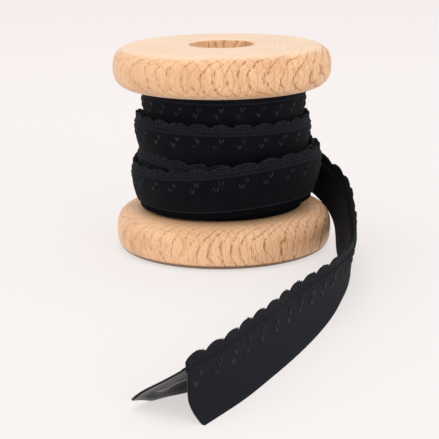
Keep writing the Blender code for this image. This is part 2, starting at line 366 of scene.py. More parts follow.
def knit(name, kind, crease=None, painted_light_span=None):
    """Fine black jersey with a net along its lace edge; it may carry painted crease light, or painted light
    that pales it further along the strip.
    """
    material, tree, shader = new_material(name, kind.roughness)
    strip = node(tree, "ShaderNodeUVMap", {"uv_map": "cloth"}).outputs[0]
    millimetres = vector_maths(tree, "SCALE", i0=strip, Scale=MAP_UNIT)[0]
    split = node(tree, "ShaderNodeSeparateXYZ", None, Vector=millimetres)
    along, across = split.outputs["X"], split.outputs["Y"]
    rib = maths(tree, "SINE", times(tree, along, 2 * math.pi / RIB_PITCH))
    course = maths(tree, "SINE", times(tree, across, 2 * math.pi / COURSE_PITCH))
    loops = times(tree, plus(tree, rib, times(tree, course, 0.6)), 0.5)
    net = node(tree, "ShaderNodeTexVoronoi", None, Vector=millimetres, Scale=1.5, Randomness=0.3)
    holes = minus(tree, 1.0, between(tree, net.outputs["Distance"], 0.22, 0.40))
    lace = between(tree, across, FOLD + 0.25, FOLD + 0.45)
    # A pale line along the cut edge: painted highlight on the edge.
    edge_highlight = minus(tree, 1.0, between(tree, across, 0.2, 0.5))
    from_fold = maths(tree, "ABSOLUTE", minus(tree, across, FOLD))
    fold = minus(tree, 1.0, between(tree, from_fold, 0.1, 0.3))
    fuzz = noise(tree, millimetres, Scale=2.2, Detail=4.0, Roughness=0.7)
    patch = noise(tree, millimetres, Scale=0.22, Detail=2.0)
    pale = plus(tree, times(tree, fuzz, 0.55), times(tree, patch, 0.45))
    # The painted edge highlight, and a pale line along the fold.
    edges = maths(tree, "MAXIMUM", edge_highlight, times(tree, fold, 0.9))
    pale = plus(tree, minus(tree, pale, 0.30), edges)
    # Painted light: the loose end turns paler further along, towards the cut.
    if painted_light_span:
        pale = plus(tree, pale, times(tree, between(tree, along, *painted_light_span), 0.75))
    pale = plus(tree, pale, times(tree, lace, 0.85))
    pale = minus(tree, pale, times(tree, times(tree, lace, holes), 1.3))
    shown = node(tree, "ShaderNodeClamp", None, Value=pale).outputs[0]
    colour = mixed(tree, shown, kind.dark, kind.light)
    # The lining gets its painted crease highlight and painted lift.
    if crease:
        colour = creased(tree, colour, along, across, crease)
    tree.links.new(colour, shader.inputs["Base Color"])
    ground = times(tree, loops, minus(tree, 1.0, lace))
    pits = times(tree, times(tree, holes, lace), -2.0)
    relief = plus(tree, plus(tree, ground, pits), fuzz)
    bump = node(tree, "ShaderNodeBump", None, Strength=0.6, Distance=kind.rib_depth, Height=relief)
    tree.links.new(bump.outputs["Normal"], shader.inputs["Normal"])
    shader.inputs["Sheen Weight"].default_value = kind.sheen
    shader.inputs["Sheen Roughness"].default_value = 0.45
    shader.inputs["Specular IOR Level"].default_value = 0.06
    return material


Knit = namedtuple("Knit", "dark light roughness sheen rib_depth")
OUTER_SIDE = Knit(KNIT_BLACK, KNIT_RAISED, 0.82, 0.02, 0.00008)
INNER_SIDE = Knit(KNIT_BLACK, LINING_GREY, 0.6, 0.35, 0.00004)
# A darker, plainer copy of the jersey for the roll's body: painted shade in the gaps between laps.
SHADED_DEEP_CLOTH = Knit(KNIT_BLACK, SHADED_DEEP_BLACK, 0.9, 0.0, 0.00004)
outer_knit = knit("black jersey, outer side", OUTER_SIDE)
inner_knit = knit("black jersey, inner side", INNER_SIDE)
shaded_deep_knit = knit("black jersey, painted shade deep in the roll", SHADED_DEEP_CLOTH)

# %% [markdown]
# ## Embroidery thread
# The raised leaves and the stitches on the scallops are embroidered.  The thread is smoother than
# the jersey but hardly shinier, so it shows as a slightly paler black.  Noise sinks some of it
# into the cloth, since in the photograph no two leaves are equally clear.

# %% Thread


def thread(name, colour):
    """Smooth black embroidery thread, some of it sunk and dull."""
    material, tree, shader = new_material(name, 0.5)
    spot = node(tree, "ShaderNodeTexCoord").outputs["Object"]
    twist = noise(tree, spot, Scale=2600.0, Detail=2.0)
    wear = noise(tree, spot, Scale=520.0, Detail=2.0, Roughness=0.7)
    shown = times(tree, between(tree, wear, 0.34, 0.62), plus(tree, twist, 0.4))
    deep = tuple(value * 0.22 for value in colour[:3]) + (1.0,)
    tree.links.new(mixed(tree, shown, deep, colour), shader.inputs["Base Color"])
    shader.inputs["Sheen Weight"].default_value = 0.03
    shader.inputs["Specular IOR Level"].default_value = 0.12
    return material


leaf_thread = thread("raised leaf thread", (0.0185, 0.0205, 0.0255, 1.0))
# The loose end's leaves take a lighter copy of the thread: painted light for the brighter loose end.
lit_end_leaf_thread = thread("raised leaf thread, loose end, painted lighter", (0.025, 0.028, 0.034, 1.0))
edge_thread = thread("edge stitch thread", (0.021, 0.022, 0.028, 1.0))
end_edge_thread = thread("edge stitch thread, loose end", (0.016, 0.017, 0.021, 1.0))

# %% [markdown]
# ## Turning the spool
# The discs and the barrel are turned on a lathe.  A lathe shape is an outline carried round an
# axis, and it could be spun point by point, but Geometry Nodes do just that in one step: the
# outline becomes a curve, a circle is the path, and Curve to Mesh sweeps one along the other.  The
# outline is drawn flat, across the path, and the circle's radius puts it out at the bore.  The
# rim is a superellipse, which is fuller than a half circle.  The lower disc is fuller still
# underneath, where it stands on the table.

# %% The lathe
BORE_RADIUS = 8.3
BARREL_RADIUS = 13.0
NOSE_REACH = 5.3
NOSE_ROUNDNESS = 2.4
FOOT_REACH = 3.6
FOOT_ROUNDNESS = 3.0
NOSE_STEPS = 26
SPOOL_SIDES = 160
SEAT_GAP = 0.3
EDGE_EASE = 0.35
FACE_BREAK = 1.6
SHARP_ANGLE = math.radians(50)


def new_tree(name, inputs):
    """A Geometry Nodes tree that takes and gives geometry, with named inputs."""
    group = bpy.data.node_groups.new(name, "GeometryNodeTree")
    group.interface.new_socket("Geometry", in_out="INPUT", socket_type="NodeSocketGeometry")
    group.interface.new_socket("Geometry", in_out="OUTPUT", socket_type="NodeSocketGeometry")
    for key, kind, value in inputs:
        made = group.interface.new_socket(key, in_out="INPUT", socket_type=kind)
        if value is not None:
            made.default_value = value
    return group, group.nodes.new("NodeGroupInput"), group.nodes.new("NodeGroupOutput")


def finish_tree(group, given, shape, result):
    """Makes a tree's shape real and gives it the chosen finish."""
    real = node(group, "GeometryNodeRealizeInstances", None, Geometry=shape).outputs["Geometry"]
    finish = given.outputs["Finish"]
    dressed = node(group, "GeometryNodeSetMaterial", None, Geometry=real, Material=finish)
    group.links.new(dressed.outputs["Geometry"], result.inputs["Geometry"])
    return group


def run_tree(piece, group, values):
    """Runs a tree on a piece with these inputs, and leaves a plain mesh."""
    modifier = piece.modifiers.new(group.name, "NODES")
    modifier.node_group = group
    names = {item.name: item.identifier for item in group.interface.items_tree if item.in_out == "INPUT"}
    for key, value in values.items():
        modifier[names[key]] = value
    bpy.context.view_layer.update()
    evaluated = piece.evaluated_get(bpy.context.evaluated_depsgraph_get())
    mesh = bpy.data.meshes.new_from_object(evaluated)
    piece.modifiers.remove(modifier)
    piece.data = mesh
    print(f"{piece.name}: {len(mesh.vertices)} points, {len(mesh.polygons)} faces")
    return piece


def lathe_tree():
    """Sweeps an outline round the spool's axis."""
    inputs = [("Sides", "NodeSocketInt", 64), ("Finish", "NodeSocketMaterial", None)]
    group, given, result = new_tree("lathe", inputs)
    outline = node(group, "GeometryNodeMeshToCurve", None, Mesh=given.outputs["Geometry"])
    sides = given.outputs["Sides"]
    circle = node(group, "GeometryNodeCurvePrimitiveCircle", None, Resolution=sides, Radius=BORE_RADIUS * MM)
    swept = node(group, "GeometryNodeCurveToMesh", None, Curve=circle.outputs["Curve"],
                 Profile_Curve=outline.outputs["Curve"])
    smoothed = node(group, "GeometryNodeSetShadeSmooth", None, Geometry=swept.outputs["Mesh"])
    moved = node(group, "GeometryNodeTransform", None, Geometry=smoothed.outputs["Geometry"],
                 Translation=tuple(AXIS))
    return finish_tree(group, given, moved.outputs["Geometry"], result)


def bore_edge(height, inwards):
    """The eased edge of the bore at a face, from the bore's wall out onto the face."""
    return [(BORE_RADIUS, height + inwards * EDGE_EASE),
            (BORE_RADIUS + EDGE_EASE * 0.3, height + inwards * EDGE_EASE * 0.3),
            (BORE_RADIUS + EDGE_EASE, height), (BORE_RADIUS * FACE_BREAK, height)]


def disc_outline(bottom, under_reach, under_roundness):
    """The section of a disc, from its bore out over the rounded rim and back."""
    half = DISC_THICK / 2
    rim = []
    for k in range(NOSE_STEPS + 1):
        angle = math.pi * (0.5 - k / NOSE_STEPS)
        reach, roundness = (NOSE_REACH, NOSE_ROUNDNESS) if angle > 0 else (under_reach, under_roundness)
        across = max(math.cos(angle), 0.0) ** (2 / roundness)
        up = math.copysign(abs(math.sin(angle)) ** (2 / roundness), math.sin(angle))
        rim.append((DISC_RADIUS - reach * (1 - across), bottom + half + half * up))
    return bore_edge(bottom + DISC_THICK, -1) + rim + bore_edge(bottom, 1)[::-1]


def face_outwards(piece):
    """Turns every face of a closed piece outwards."""
    shape = bmesh.new()
    shape.from_mesh(piece.data)
    bmesh.ops.recalc_face_normals(shape, faces=shape.faces)
    shape.to_mesh(piece.data)
    shape.free()


def turn_piece(name, outline, finish, nodes):
    """A turned piece of the spool, which stands for its solid."""
    count = len(outline)
    mesh = bpy.data.meshes.new(name)
    points = [((radius - BORE_RADIUS) * MM, -height * MM, 0.0) for radius, height in outline]
    mesh.from_pydata(points, [(k, (k + 1) % count) for k in range(count)], [])
    piece = run_tree(new_object(name, mesh), lathe, {"Sides": SPOOL_SIDES, "Finish": finish})
    face_outwards(piece)
    piece.data.set_sharp_from_angle(angle=SHARP_ANGLE)
    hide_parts(*nodes)
    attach(piece, "root")
    places = np.array([corner.co for corner in piece.data.vertices]) / MM
    print(name, "from", places.min(axis=0).round(1), "to", places.max(axis=0).round(1))
    return piece


lathe = lathe_tree()
top_outline = disc_outline(SPOOL_HEIGHT - DISC_THICK, NOSE_REACH, NOSE_ROUNDNESS)
turn_piece("top_disc_turned", top_outline, top_beech, ["spool_top_disc"])
bottom_outline = disc_outline(0.0, FOOT_REACH, FOOT_ROUNDNESS)
turn_piece("bottom_disc_turned", bottom_outline, bottom_beech, ["spool_bottom_disc"])
low_seat, high_seat = DISC_THICK + SEAT_GAP, SPOOL_HEIGHT - DISC_THICK - SEAT_GAP
barrel_outline = [(BORE_RADIUS, low_seat), (BORE_RADIUS, high_seat),
                  (BARREL_RADIUS, high_seat), (BARREL_RADIUS, low_seat)]
turn_piece("barrel_turned", barrel_outline, bottom_beech, ["spool_barrel"])

# %% [markdown]
# ## How the binding is wound
# The outer four laps show.  Each lap's scalloped edge climbs and sinks as it goes round, and each
# bulges a little over the lap inside it.  A plain spiral would miss those steps, and points placed
# one by one would be hard to change.  So a short table holds the edge's height and the bulge at a
# few turns, and a smooth curve through its rows gives every place between them.  The strip starts
# a third of a turn early, under the top disc, so that no gap shows behind.

# %% The laps
SCALLOP_DEPTH = 1.0
SCALLOP_FULLNESS = 0.7
SCALLOPS_ROUND = 25
LAPS_SHOWN = 4
SEAM = 150.0
TURN = 360.0
FIRST_TURN, LAST_TURN = -129.6, 1430.0
ROLL_REPEAT = 6.0
UNDER_TOP = high_seat - 0.15
LACE_FLARE = 0.35
OUTER_LAP = 1080.0
LEAVING = 1350.0

Lap = namedtuple("Lap", "turn edge radius")
LAPS = [
    Lap(-130, 43.0, 19.9), Lap(-60, 43.0, 20.6),
    Lap(0, 43.0, 21.4), Lap(60, 43.0, 21.4), Lap(150, 43.0, 21.0), Lap(240, 43.0, 20.7),
    Lap(300, 39.6, 21.4), Lap(360, 35.4, 22.4), Lap(450, 35.4, 22.7), Lap(510, 35.6, 22.5),
    Lap(565, 36.0, 22.6), Lap(600, 35.9, 22.7), Lap(660, 32.6, 23.0),
    Lap(720, 28.6, 23.6), Lap(780, 28.0, 23.8), Lap(830, 26.2, 23.3), Lap(884, 25.8, 22.7),
    Lap(910, 26.8, 22.3), Lap(935, 27.6, 22.0), Lap(960, 27.7, 22.1), Lap(1020, 27.5, 23.2),
    Lap(1080, 27.0, 24.4), Lap(1140, 27.1, 25.4), Lap(1178, 27.7, 25.4), Lap(1193, 27.5, 25.2),
    Lap(1219, 26.3, 24.8), Lap(1243, 24.9, 24.5), Lap(1266, 23.9, 24.1), Lap(1287, 23.5, 23.8),
    Lap(1320, 23.4, 23.8), Lap(1380, 23.9, 24.3), Lap(1440, 24.8, 24.9),
]
Face = namedtuple("Face", "below draw_in")
LAP_FACE = [Face(0.0, 0.9), Face(2.6, 0.0), Face(6.4, 0.1), Face(9.0, 0.7), Face(12.0, 1.7),
            Face(30.0, 2.4)]
Foot = namedtuple("Foot", "turn height")
LAP_FOOT = [Foot(0, 13.6), Foot(80, 15.0), Foot(122, 14.6), Foot(164, 13.4), Foot(187, 13.1),
            Foot(240, 13.2), Foot(300, 13.4), Foot(360, 13.6)]


def smooth_rows(rows, at):
    """The row at a place between the rows, by a smooth curve through them all."""
    table = np.array(rows, dtype=float)
    keys = table[:, 0]
    at = min(max(at, keys[0]), keys[-1])
    low = min(int(np.searchsorted(keys, at, side="right")) - 1, len(keys) - 2)
    span = keys[low + 1] - keys[low]
    part = (at - keys[low]) / span
    before, after = max(low - 1, 0), min(low + 2, len(keys) - 1)
    slope_in = (table[low + 1] - table[before]) / (keys[low + 1] - keys[before]) * span
    slope_out = (table[after] - table[low]) / (keys[after] - keys[low]) * span
    return ((2 * part ** 3 - 3 * part ** 2 + 1) * table[low] + (part ** 3 - 2 * part ** 2 + part) * slope_in
            + (3 * part ** 2 - 2 * part ** 3) * table[low + 1] + (part ** 3 - part ** 2) * slope_out)


def rise(value, low, high):
    """Nought below low, one above high, and a smooth rise between."""
    part = min(max((value - low) / (high - low), 0.0), 1.0)
    return part * part * (3 - 2 * part)


def scallop(repeats):
    """The height of the scalloped edge, nought to one."""
    return abs(math.sin(math.pi * repeats)) ** SCALLOP_FULLNESS


def around(radius, azimuth, height):
    """A point at a radius and an angle from the front."""
    angle = math.radians(azimuth)
    return np.array([radius * math.sin(angle), -radius * math.cos(angle), height])


def on_lap(turn, across, lift=0.0):
    """A point of the wound strip's outer side: the turn, and how far up the strip it lies."""
    lap = Lap(*smooth_rows(LAPS, turn))
    edge, shrink = lap.edge, 1.0
    if turn > OUTER_LAP:
        foot = Foot(*smooth_rows(LAP_FOOT, turn - OUTER_LAP)).height
        shrink = (edge - foot) / STRIP_WIDTH
    leaving = rise(turn, LEAVING, LAST_TURN)
    height = edge - (STRIP_WIDTH - across) * shrink
    height += leaving * (LOOSE_END[0].z + across - height)
    radius = lap.radius - Face(*smooth_rows(LAP_FACE, max(edge - height, 0.0))).draw_in
    radius += LACE_FLARE * rise(across, FOLD + 0.6, STRIP_WIDTH) * (1 - leaving)
    radius += leaving * (START_RADIUS - radius)
    over = max(height - UNDER_TOP, 0.0)
    return around(radius + lift - over, SEAM - turn, height - over)


# %% [markdown]
# ## Where the loose end runs
# The strip leaves the roll behind, comes round on the right over the lower disc's rim, bends on
# the table and stands there on its free edge, lace up.  Simulated cloth would fall flat here,
# since only the fold's stiffness holds the strip on edge.  So the photograph's own line is
# followed: the route below is that of its front edge, with its lean and the outward curl of the
# foot.  The back half hangs from the fold, and opens out like a tent towards the cut.

# %% The loose end's route
Route = namedtuple("Route", "x y z lean flare")
LOOSE_END = [
    Route(9.3, 25.7, 12.3, 0, 0.0), Route(15.8, 22.6, 11.9, 0, 0.0), Route(20.8, 19.7, 11.3, 0, 0.0),
    Route(25.0, 16.2, 10.3, 1, 0.0), Route(28.3, 11.6, 8.2, 0, 0.0), Route(30.3, 5.8, 6.3, -5, 0.0),
    Route(31.1, -0.4, 4.6, -9, 0.0), Route(31.0, -6.6, 3.2, -12, 0.0), Route(30.7, -13.0, 1.5, -13, 0.0),
    Route(30.7, -20.0, 0.5, -13, 0.1), Route(30.9, -27.5, 0.0, -9, 0.2), Route(30.0, -35.4, 0.0, -10, 0.4),
    Route(28.5, -43.9, 0.0, -11, 0.6), Route(26.5, -52.5, 0.0, -9, 0.9), Route(24.3, -61.3, 0.0, -5, 1.2),
    Route(21.4, -70.6, 0.0, 2, 1.6), Route(17.8, -80.4, 0.0, 8, 1.9), Route(13.6, -90.5, 0.0, 7, 2.2),
    Route(8.8, -100.9, 0.0, 5, 2.6), Route(3.4, -111.9, 0.0, 2, 2.9), Route(-3.8, -124.0, 0.0, 0, 3.3),
]
START_RADIUS = math.hypot(LOOSE_END[0].x, LOOSE_END[0].y)
FLARE_HEIGHT = 5.0
END_SCALLOPS = 25

Back = namedtuple("Back", "from_cut foot height bow")
BACK_HALF = [
    Back(0, 16.0, 2.0, 0.3), Back(3, 16.0, 1.0, 0.4), Back(6, 15.0, 0.0, 0.6), Back(9, 13.7, 0.0, 1.1),
    Back(12, 11.8, 0.0, 1.7), Back(16, 10.0, 0.0, 2.0), Back(24, 7.8, 0.0, 2.0), Back(35, 6.0, 0.0, 2.0),
    Back(60, 4.4, 0.0, 1.8), Back(85, 3.4, 0.0, 1.2), Back(105, 2.5, 0.0, 0.4),
    Back(125, 2.3, 0.0, 0.0), Back(175, 2.3, 0.0, 0.0),
]
BOW_SINK = 2.4
route = np.array(LOOSE_END, dtype=float)
route_steps = np.linalg.norm(np.diff(route[:, :3], axis=0), axis=1)
keyed_route = np.column_stack([np.concatenate([[0.0], np.cumsum(route_steps)]), route])
END_LENGTH = float(keyed_route[-1, 0])
END_REPEAT = END_LENGTH / END_SCALLOPS
print(f"the loose end is {END_LENGTH:.0f} mm long and repeats every {END_REPEAT:.1f} mm")


def route_frame(at):
    """The route's row at a length, and the level direction towards the spool's side of it."""
    row = Route(*smooth_rows(keyed_route, at)[1:])
    ahead, behind = smooth_rows(keyed_route, at + 0.5), smooth_rows(keyed_route, at - 0.5)
    along = (ahead - behind)[1:3]
    along /= np.linalg.norm(along)
    return row, np.array([along[1], -along[0]])


def in_space(row, inward, behind, height):
    """A point of the folded section, set out at its place on the route."""
    x, y = row.x + inward[0] * behind, row.y + inward[1] * behind
    return np.array([x, y, max(row.z + height, 0.02)])


def front_place(row, across):
    """How far behind its lower edge and how high a place on the front half lies."""
    curl = row.flare * (1 - max(1 - across / FLARE_HEIGHT, 0.0) ** 2)
    lean = math.radians(row.lean)
    return curl + across * math.sin(lean), across * math.cos(lean)


def on_end(at, across, lift=0.0):
    """A point of the loose end's front side; a lift stands off towards the front."""
    row, inward = route_frame(at)
    behind, height = front_place(row, across)
    sway = 0.12 * math.sin(at / 7.1) * math.sin(across / 4.0)
    return in_space(row, inward, behind - lift + sway, height)


# %% [markdown]
# ## The wound strip
# The strip is a grid of points: columns along it and rows across it.  A swept curve would give
# the same band, but not the scallops.  In a grid the columns keep step with them, so the top row
# can follow the edge exactly.  Solidify then gives the cloth its thickness inwards, its second
# material to the inner side and, where the inner side carries painted crease light, a third one to
# the cut edge.

# %% Winding
COLUMNS_PER_SCALLOP = 12
CLOTH_THICK = 0.55
RIDGE_HEIGHT = 0.22
ROWS_UP = [0.0, 0.25, 0.6, 1.2, 2.0, 3.0, 4.0, 5.0, 6.0, 7.0, 8.0, 8.7, 9.05, 9.25, 9.5,
           9.75, 9.95, 10.3, 10.8]
LACE_ROWS = [0.35, 0.7, 1.0]


def ridge(across):
    """The raised line of the fold."""
    return RIDGE_HEIGHT * math.exp(-((across - FOLD) / 0.26) ** 2)


def edge_height(repeats):
    """How far up the strip its scalloped edge reaches."""
    return STRIP_WIDTH - SCALLOP_DEPTH + SCALLOP_DEPTH * scallop(repeats)


def rows_at(rows, repeats):
    """The rows across the strip, and then the last ones, drawn up to the scalloped edge."""
    return rows + [rows[-1] + (edge_height(repeats) - rows[-1]) * share for share in LACE_ROWS]


def grid_faces(columns, rows):
    """Quads over a grid of columns and rows."""
    return [(c * rows + r, c * rows + r + 1, (c + 1) * rows + r + 1, (c + 1) * rows + r)
            for c in range(columns - 1) for r in range(rows - 1)]


def give_thickness(piece, thickness, inner, rim=None):
    """Cloth of one thickness behind its outer side, with its own inner and rim materials."""
    piece.data.materials.append(inner)
    solid = piece.modifiers.new("thickness", "SOLIDIFY")
    solid.thickness = thickness * MM
    solid.offset = -1.0
    solid.use_even_offset = False
    solid.material_offset = 1
    solid.material_offset_rim = 0
    if rim:
        piece.data.materials.append(rim)
        solid.material_offset_rim = 2


def wind_strip():
    """The last four laps, as one strip."""
    span = LAST_TURN - FIRST_TURN
    columns = int(span / TURN * SCALLOPS_ROUND * COLUMNS_PER_SCALLOP) + 1
    points, places = [], []
    for c in range(columns):
        turn = FIRST_TURN + span * c / (columns - 1)
        repeats = turn / TURN * SCALLOPS_ROUND
        for across in rows_at(ROWS_UP, repeats):
            points.append(on_lap(turn, across, ridge(across)))
            places.append((repeats * ROLL_REPEAT, across))
    piece = new_piece("wound_laps", points, grid_faces(columns, len(ROWS_UP) + len(LACE_ROWS)), outer_knit)
    map_cloth(piece, places)
    give_thickness(piece, CLOTH_THICK, inner_knit)
    print(f"wound laps: {columns} columns")
    return piece


wound_laps = wind_strip()

# %% [markdown]
# ## The body of the roll
# Under the laps lies the rest of the winding.  It shows as a dark step below the outer lap and in
# the gaps at the lifted edges, so its own laps need not be wound.  Its jersey is a darker copy,
# which paints the shade there.  It is one closed ring, a little inside the laps, whose outline
# steps in at each lap's edge.

# %% Roll body
BODY_INSET = 0.75
BODY_STEPS = 180
BODY_LEVELS = 40
BODY_LEAST_RADIUS = 20.0
BACK_DROP = 1.9
BODY_FOOT_RADIUS = 20.6


def body_outline(turn):
    """The section of the roll's body: radius and height, from the top down and back up inside."""
    low, high = low_seat, high_seat
    foot = Foot(*smooth_rows(LAP_FOOT, turn)).height
    outline = []
    for height in np.linspace(high, foot, BODY_LEVELS):
        radius = BODY_LEAST_RADIUS
        for lap in range(LAPS_SHOWN):
            row = Lap(*smooth_rows(LAPS, turn + TURN * lap))
            if height < row.edge - SCALLOP_DEPTH - 0.4:
                radius = row.radius - Face(*smooth_rows(LAP_FACE, row.edge - height)).draw_in
        outline.append((radius - BODY_INSET, height))
    last = outline[-1][0]
    outline += [(last + 0.1, foot - 0.6), (last - 0.1, foot - BACK_DROP + 0.2)]
    outline += [(last - 0.5, foot - BACK_DROP)]
    outline += [(BODY_FOOT_RADIUS, foot - BACK_DROP), (BODY_FOOT_RADIUS - 0.3, low)]
    return outline + [(BARREL_RADIUS + SEAT_GAP, low), (BARREL_RADIUS + SEAT_GAP, high)]


def build_body():
    """The closed ring under the laps."""
    rings = [[around(radius, SEAM - TURN * k / BODY_STEPS, height)
              for radius, height in body_outline(TURN * k / BODY_STEPS)] for k in range(BODY_STEPS)]
    count = len(rings[0])
    points = [point for ring in rings for point in ring]
    faces = []
    for k in range(BODY_STEPS):
        here, there = k * count, ((k + 1) % BODY_STEPS) * count
        for j in range(count):
            after = (j + 1) % count
            faces.append((here + j, here + after, there + after, there + j))
    piece = new_piece("roll_body", points, faces, shaded_deep_knit)
    places = [(k * 0.8, 4.0 + (j % count) * 0.1) for k in range(BODY_STEPS) for j in range(count)]
    map_cloth(piece, places)
    face_outwards(piece)
    return piece


roll_body = build_body()

# %% [markdown]
# ## The loose end
# One sheet makes both halves: up the front, over the fold, and down the back, so that the open
# fold shows its lining at the cut.  Two separate walls would leave a slit along the fold.  The
# lace is a second, narrow piece that stands on the fold.  Both follow the same route, and both
# are painted paler towards the cut, as painted light.

# %% Loose end
END_COLUMNS_PER_SCALLOP = 13
FRONT_ROWS = [0.0, 0.25, 0.6, 1.2, 2.0, 2.9, 3.9, 5.0, 6.0, 7.0, 8.0, 8.7, 9.05, 9.25, 9.5]
LACE_UP = [9.2, 9.75, 9.95, 10.3, 10.8]
FOLD_ARC = [(0.15, 0.30), (0.7, 0.5), (1.3, 0.3)]
BACK_START = 1.55
BACK_ROWS = 14
END_THICK = 0.4
LACE_BEHIND = 0.25
# Where the loose end's painted light rises, in millimetres from the roll; the lace shares it.
END_LIGHT_SPAN = (55.0, 120.0)
CREASE_ACROSS = 1.8
lit_end_knit = knit("black jersey, loose end, painted lighter towards the cut", OUTER_SIDE, painted_light_span=END_LIGHT_SPAN)
crease = Crease(END_LENGTH, CREASE_ACROSS)
# The inner side with painted crease light at the open cut.
crease_lit_inner_knit = knit("black jersey, inner side with painted crease light", INNER_SIDE, crease=crease)


def folded_section(at):
    """Points and cloth places across both halves at one length."""
    row, inward = route_frame(at)
    points = [on_end(at, across, ridge(across)) for across in FRONT_ROWS]
    places = [(at, across) for across in FRONT_ROWS]
    behind, height = front_place(row, FOLD)
    for k, (back, up) in enumerate(FOLD_ARC):
        points.append(in_space(row, inward, behind + back, height + up))
        places.append((at, FOLD - 0.3 * (k + 1)))
    back = Back(*smooth_rows(BACK_HALF, END_LENGTH - at))
    fold = np.array([behind + BACK_START, height])
    foot = np.array([max(back.foot - 0.2, BACK_START), back.height])
    line = foot - fold
    normal = np.array([-line[1], line[0]]) / np.linalg.norm(line)
    for k in range(BACK_ROWS + 1):
        share = k / BACK_ROWS
        out = fold + line * share + normal * back.bow * math.sin(math.pi * share ** BOW_SINK)
        points.append(in_space(row, inward, out[0], out[1]))
        places.append((at, (FOLD - 1.2) * (1 - share)))
    return points, places


def lay_end():
    """The folded sheet of the loose end."""
    columns = END_SCALLOPS * END_COLUMNS_PER_SCALLOP + 1
    points, places = [], []
    for c in range(columns):
        section, spots = folded_section(END_LENGTH * c / (columns - 1))
        points += section
        places += spots
    rows = len(FRONT_ROWS) + len(FOLD_ARC) + BACK_ROWS + 1
    piece = new_piece("loose_strip", points, grid_faces(columns, rows), lit_end_knit)
    map_cloth(piece, places)
    give_thickness(piece, END_THICK, crease_lit_inner_knit, inner_knit)
    return piece


def lay_lace():
    """The scalloped lace that stands on the fold."""
    columns = END_SCALLOPS * END_COLUMNS_PER_SCALLOP + 1
    points, places = [], []
    for c in range(columns):
        at = END_LENGTH * c / (columns - 1)
        for across in rows_at(LACE_UP, c / END_COLUMNS_PER_SCALLOP):
            points.append(on_end(at, across, -LACE_BEHIND))
            places.append((at, across))
    piece = new_piece("loose_lace", points, grid_faces(columns, len(LACE_UP) + len(LACE_ROWS)), lit_end_knit)
    map_cloth(piece, places)
    give_thickness(piece, END_THICK, lit_end_knit)
    return piece


loose_strip = lay_end()
loose_lace = lay_lace()

# %% [markdown]
# ## Leaves and stitches
# Thousands of small raised stitches follow the strip.  Copies placed one by one would be slow, and
# a bump in the material would not show at the edge.  So each stitch is one point that carries two
# directions, out of the cloth and along the stitch, and its share of the full size.  A Geometry
# Nodes tree puts a flattened bead on every point, turned and scaled by those values, and makes
# the beads real.

# %% The stitch tree


def stitch_tree():
    """Puts a bead on every point, along and out of the cloth as the point says."""
    inputs = [("Length", "NodeSocketFloat", 0.001), ("Width", "NodeSocketFloat", 0.0004),
              ("Height", "NodeSocketFloat", 0.0002), ("Detail", "NodeSocketInt", 1),
              ("Finish", "NodeSocketMaterial", None)]
    group, given, result = new_tree("stitches", inputs)
    wanted = given.outputs
    bead = node(group, "GeometryNodeMeshIcoSphere", None, Radius=0.5, Subdivisions=wanted["Detail"])
    size = node(group, "ShaderNodeCombineXYZ", None, X=wanted["Length"], Y=wanted["Width"],
                Z=wanted["Height"])
    shaped = node(group, "GeometryNodeTransform", None, Geometry=bead.outputs["Mesh"], Scale=size.outputs[0])
    smoothed = node(group, "GeometryNodeSetShadeSmooth", None, Geometry=shaped.outputs["Geometry"])
    kinds = {"out": "FLOAT_VECTOR", "along": "FLOAT_VECTOR", "share": "FLOAT"}
    out, along, share = (node(group, "GeometryNodeInputNamedAttribute", {"data_type": kind}, Name=key)
                         for key, kind in kinds.items())
    turn = node(group, "FunctionNodeAxesToRotation", {"primary_axis": "Z", "secondary_axis": "X"},
                Primary_Axis=out.outputs["Attribute"], Secondary_Axis=along.outputs["Attribute"])
    beads = node(group, "GeometryNodeInstanceOnPoints", None, Points=wanted["Geometry"],
                 Instance=smoothed.outputs["Geometry"], Rotation=turn.outputs["Rotation"],
                 Scale=share.outputs["Attribute"])
    return finish_tree(group, given, beads.outputs["Instances"], result)


stitches = stitch_tree()


def stitch_points(name, spots):
    """A cloud of points: rows of place, out, along and the share of the full size."""
    mesh = bpy.data.meshes.new(name)
    mesh.from_pydata(place([spot[0] for spot in spots]), [], [])
    for key, column in (("out", 1), ("along", 2)):
        layer = mesh.attributes.new(key, "FLOAT_VECTOR", "POINT")
        layer.data.foreach_set("vector", np.array([spot[column] for spot in spots]).ravel())
    mesh.attributes.new("share", "FLOAT", "POINT").data.foreach_set("value", [spot[3] for spot in spots])
    return new_object(name, mesh)


def directions(surface, at, across, step):
    """Out of the cloth, along the strip and up it, at one place of a surface function."""
    along = surface(at + step, across) - surface(at - step, across)
    up = surface(at, across + 0.1) - surface(at, across - 0.1)
    along /= np.linalg.norm(along)
    up /= np.linalg.norm(up)
    out = np.cross(up, along)
    return out / np.linalg.norm(out), along, up


# %% [markdown]
# ## Raised leaves
# Every repeat has two small pairs of leaves under the fold, each a narrow V.  The lower pair sits
# a quarter of a repeat further along the strip than the upper one.  A rule places them all, and a
# random draw with a fixed seed moves, turns and sizes each one a little, so that they look worked
# and not printed, and every run gives the same piece.

# %% Leaves
Leaf = namedtuple("Leaf", "phase below lean")
LEAVES = [Leaf(0.425, 1.35, -24.0), Leaf(0.535, 1.45, 20.0), Leaf(0.645, 3.0, -20.0), Leaf(0.75, 2.9, 24.0)]
LEAF_SIZE = (1.45, 0.50, 0.40)
STITCH_DETAIL = 2
LEAF_SEED = 11
END_LEAF_SHARE = 1.2

Stretch = namedtuple("Stretch", "surface first last to_place step")


def roll_place(repeats):
    """The turn after so many repeats of the wound strip."""
    return repeats * TURN / SCALLOPS_ROUND


def end_place(repeats):
    """The length after so many repeats of the loose end."""
    return repeats * END_REPEAT


def sew(name, spots, size, finish):
    """All the stitches of one stretch, each a bead of this length, width and height."""
    piece = stitch_points(name, spots)
    values = {key: part * MM for key, part in zip(("Length", "Width", "Height"), size)}
    return run_tree(piece, stitches, {**values, "Detail": STITCH_DETAIL, "Finish": finish})


